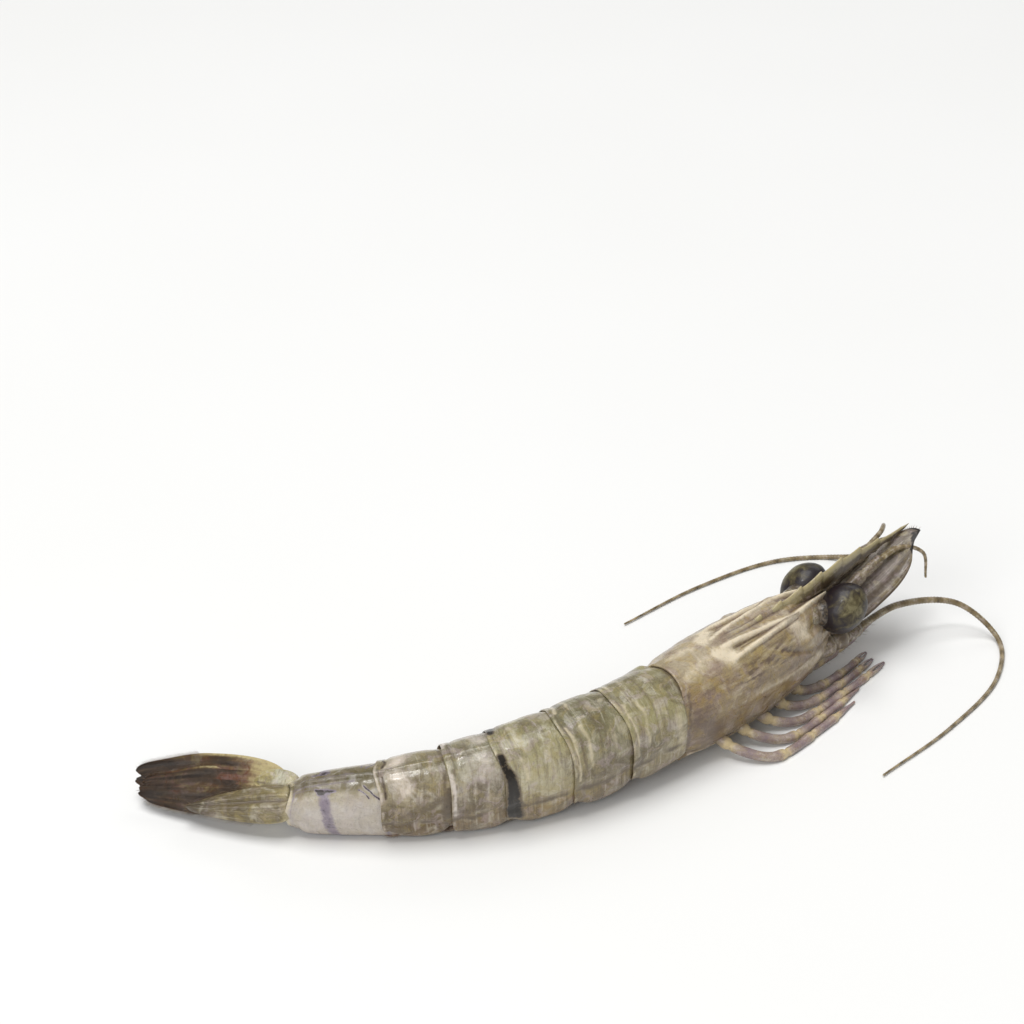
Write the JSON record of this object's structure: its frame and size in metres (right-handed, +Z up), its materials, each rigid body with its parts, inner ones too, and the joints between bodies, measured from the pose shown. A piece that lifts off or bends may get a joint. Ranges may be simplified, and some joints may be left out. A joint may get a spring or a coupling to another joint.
{
  "type": "raw tiger prawn",
  "caption": "Whole raw tiger prawn lying on its belly, its banded shell bent to one side, with rostrum, stalked eyes, feelers, folded legs, swimmerets and a dark tail fan.",
  "frame": {"origin": "on the surface it lies on, under the middle of its bounding box", "axes": "+Z up, +X along the body's longest reach with the head at +X, -Y towards the viewer of the picture"},
  "size_m": [0.2072, 0.1199, 0.0326],
  "materials": {
    "carapace_shell": "wet raw shell, olive brown with cream ridges and lilac blotches",
    "abdomen_shell": "wet translucent raw shell, grey olive with dark cross bands",
    "telson_shell": "wet raw shell, streaked olive",
    "tail_blade": "wet blades, brown black with a pale yellow rim",
    "eye": "wet, dark olive black",
    "antennal_scale": "wet translucent plate, grey pink with a dark tip",
    "feeler": "tan and brown",
    "leg": "wet, cream lilac with yellow joints",
    "swimmeret": "wet, pale pink brown"
  },
  "bodies": {
    "root": {"carapace": "carapace_shell", "telson": "telson_shell", "abdomen_ring_1": "abdomen_shell", "abdomen_ring_2": "abdomen_shell", "abdomen_ring_3": "abdomen_shell", "abdomen_ring_4": "abdomen_shell", "abdomen_ring_5": "abdomen_shell", "abdomen_ring_6": "abdomen_shell", "uropod_inner_left": "tail_blade", "uropod_outer_left": "tail_blade", "eye_left": "eye", "antennal_scale_left": "antennal_scale", "antennule_left": "feeler", "antenna_base_left": "feeler", "antenna_whip_left": "feeler", "maxilliped_left": "leg", "leg_1_left": "leg", "swimmeret_1_left": "swimmeret", "leg_2_left": "leg", "swimmeret_2_left": "swimmeret", "leg_3_left": "leg", "swimmeret_3_left": "swimmeret", "leg_4_left": "leg", "swimmeret_4_left": "swimmeret", "leg_5_left": "leg", "swimmeret_5_left": "swimmeret", "uropod_inner_right": "tail_blade", "uropod_outer_right": "tail_blade", "eye_right": "eye", "antennal_scale_right": "antennal_scale", "antennule_right": "feeler", "antenna_base_right": "feeler", "antenna_whip_right": "feeler", "maxilliped_right": "leg", "leg_1_right": "leg", "swimmeret_1_right": "swimmeret", "leg_2_right": "leg", "swimmeret_2_right": "swimmeret", "leg_3_right": "leg", "swimmeret_3_right": "swimmeret", "leg_4_right": "leg", "swimmeret_4_right": "swimmeret", "leg_5_right": "leg", "swimmeret_5_right": "swimmeret"}
  },
  "joints": []
}
